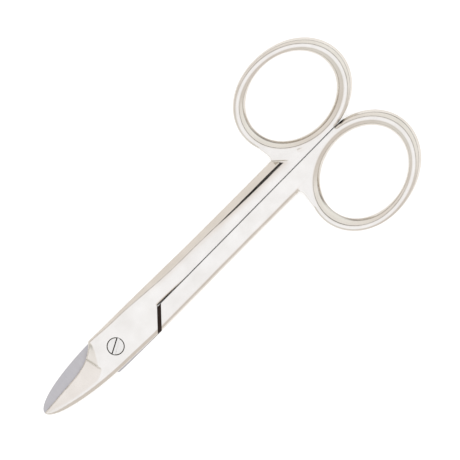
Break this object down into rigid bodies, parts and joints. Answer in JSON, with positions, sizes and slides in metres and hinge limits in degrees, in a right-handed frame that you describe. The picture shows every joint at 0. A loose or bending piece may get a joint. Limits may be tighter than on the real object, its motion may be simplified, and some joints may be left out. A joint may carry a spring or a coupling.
{
  "type": "thread snips",
  "caption": "Small stout scissors for thread and trimming: two lapped forged halves with short curved blades, straight shanks and finger rings, turning on a slotted pivot screw.",
  "frame": {"origin": "on the pivot axis, in the flat plane that the closed scissors lie on, at the flush tail of the pivot screw", "axes": "+X along the closed scissors from the pivot to the finger rings, +Y to the side of the front half's ring, +Z along the pivot axis, out through the screw's slotted head"},
  "size_m": [0.1082, 0.0485, 0.0042],
  "materials": {
    "nickel_plate": "bright nickel plate over forged steel, with the blades' inner faces ground bare",
    "screw_steel": "nickel plated steel, fine turned head"
  },
  "bodies": {
    "rear": {"rear_half": "nickel_plate", "pivot_screw": "screw_steel"},
    "front": {"front_half": "nickel_plate"}
  },
  "joints": [
    {"name": "pivot", "type": "hinge", "parent": "rear", "child": "front", "pos_m": [0, 0, 0.0021], "axis": [0, 0, 1], "range_deg": [0, 120]}
  ]
}
